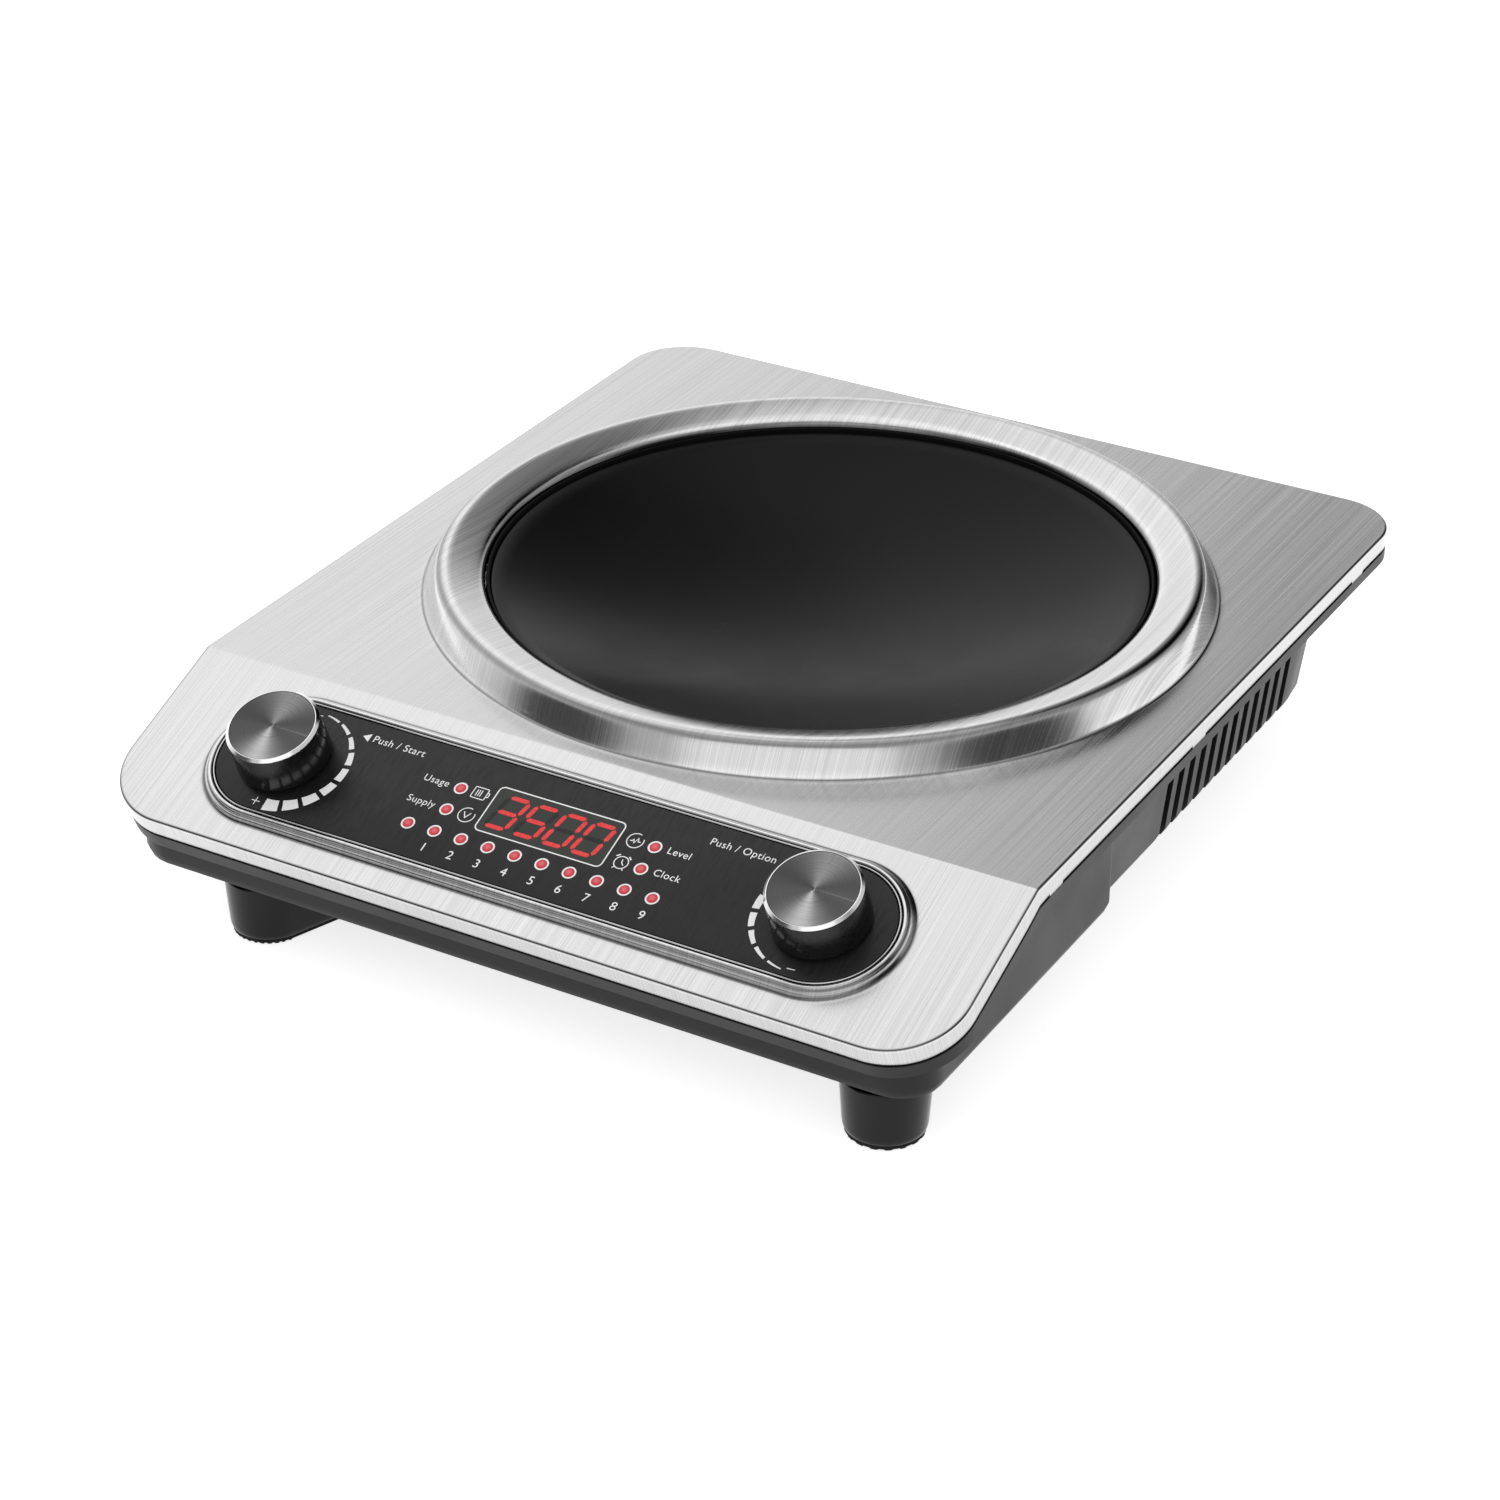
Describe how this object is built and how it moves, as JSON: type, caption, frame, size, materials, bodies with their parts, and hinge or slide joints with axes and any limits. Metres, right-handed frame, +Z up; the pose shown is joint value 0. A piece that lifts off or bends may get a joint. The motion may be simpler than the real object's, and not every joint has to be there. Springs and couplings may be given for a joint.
{
  "type": "induction hob",
  "caption": "Tabletop induction hob with a dished black glass in a raised steel ring, a sloping front panel with a red display, and two press-and-turn knobs.",
  "frame": {"origin": "on the table under the middle of the hob's outline", "axes": "+Z up, +Y to the back of the hob, +X to the right as seen from the front"},
  "size_m": [0.34, 0.397, 0.0897],
  "materials": {
    "brushed_steel": "fine straight brushing",
    "black_housing_plastic": "satin moulded",
    "foot_plastic": "satin moulded",
    "foot_rubber": "matte",
    "black_glass_ceramic": "polished, opaque black",
    "seal_silicone": "matte",
    "fascia_black": "smooth printed film",
    "trim_chrome": "polished",
    "display_filter": "smoked and smooth",
    "display_black": "moulded",
    "lamp_red": "diffusing",
    "board_green": "solder mask",
    "knob_black": "satin",
    "knob_aluminium": "spun",
    "plated_steel": "zinc plated",
    "coil_copper": "enamelled stranded wire",
    "mica": "pressed sheet",
    "ferrite": "sintered",
    "carrier_plastic": "glass-filled moulded",
    "heat_sink_aluminium": "extruded",
    "component_black": "epoxy",
    "film_capacitor": "smooth case"
  },
  "bodies": {
    "hob": {"top_cover": "brushed_steel", "lower_housing": "black_housing_plastic", "cord_gland": "black_housing_plastic", "concave_glass": "black_glass_ceramic", "glass_seal": "seal_silicone", "mica_sheet": "mica", "induction_coil": "coil_copper", "coil_carrier": "carrier_plastic", "temperature_sensor": "plated_steel", "control_fascia": "fascia_black", "panel_trim_ring": "trim_chrome", "display_window": "display_filter", "display_module": "display_black", "light_guide": "lamp_red", "control_board": "board_green", "power_board": "board_green", "heat_sink": "heat_sink_aluminium", "igbt_module": "component_black", "bridge_rectifier": "component_black", "dc_link_capacitor": "film_capacitor", "resonant_capacitor": "film_capacitor", "filter_capacitor": "film_capacitor", "supply_capacitor": "component_black", "filter_choke": "coil_copper", "terminal_block": "black_housing_plastic", "fan_frame": "black_housing_plastic", "carrier_screw_1": "plated_steel", "carrier_screw_2": "plated_steel", "carrier_screw_3": "plated_steel", "carrier_screw_4": "plated_steel", "ferrite_bar_1": "ferrite", "ferrite_bar_2": "ferrite", "ferrite_bar_3": "ferrite", "ferrite_bar_4": "ferrite", "ferrite_bar_5": "ferrite", "ferrite_bar_6": "ferrite", "left_encoder_body": "plated_steel", "right_encoder_body": "plated_steel", "foot_front_left": "foot_plastic", "foot_sole_front_left": "foot_rubber", "foot_front_right": "foot_plastic", "foot_sole_front_right": "foot_rubber", "foot_rear_left": "foot_plastic", "foot_sole_rear_left": "foot_rubber", "foot_rear_right": "foot_plastic", "foot_sole_rear_right": "foot_rubber"},
    "left_push": {"left_push_plunger": "component_black"},
    "left_knob": {"left_knob_body": "knob_black", "left_knob_cap": "knob_aluminium", "left_encoder_shaft": "plated_steel"},
    "right_push": {"right_push_plunger": "component_black"},
    "right_knob": {"right_knob_body": "knob_black", "right_knob_cap": "knob_aluminium", "right_encoder_shaft": "plated_steel"},
    "fan_rotor": {"fan_impeller": "black_housing_plastic"}
  },
  "joints": [
    {"name": "left_knob_press", "type": "slide", "parent": "hob", "child": "left_push", "axis": [0, 0.3714, -0.9285], "range_m": [0, 0.0005], "stiffness_N_per_m": 2000, "springref_m": -0.001},
    {"name": "left_knob_turn", "type": "hinge", "parent": "left_push", "child": "left_knob", "pos_m": [-0.109, -0.16126, 0.06378], "axis": [0, -0.3714, 0.9285], "continuous": true},
    {"name": "right_knob_press", "type": "slide", "parent": "hob", "child": "right_push", "axis": [0, 0.3714, -0.9285], "range_m": [0, 0.0005], "stiffness_N_per_m": 2000, "springref_m": -0.001},
    {"name": "right_knob_turn", "type": "hinge", "parent": "right_push", "child": "right_knob", "pos_m": [0.109, -0.16126, 0.06378], "axis": [0, -0.3714, 0.9285], "continuous": true},
    {"name": "fan_spin", "type": "hinge", "parent": "hob", "child": "fan_rotor", "pos_m": [0.1, -0.0907, 0.0373], "axis": [0, 0, 1], "continuous": true}
  ]
}
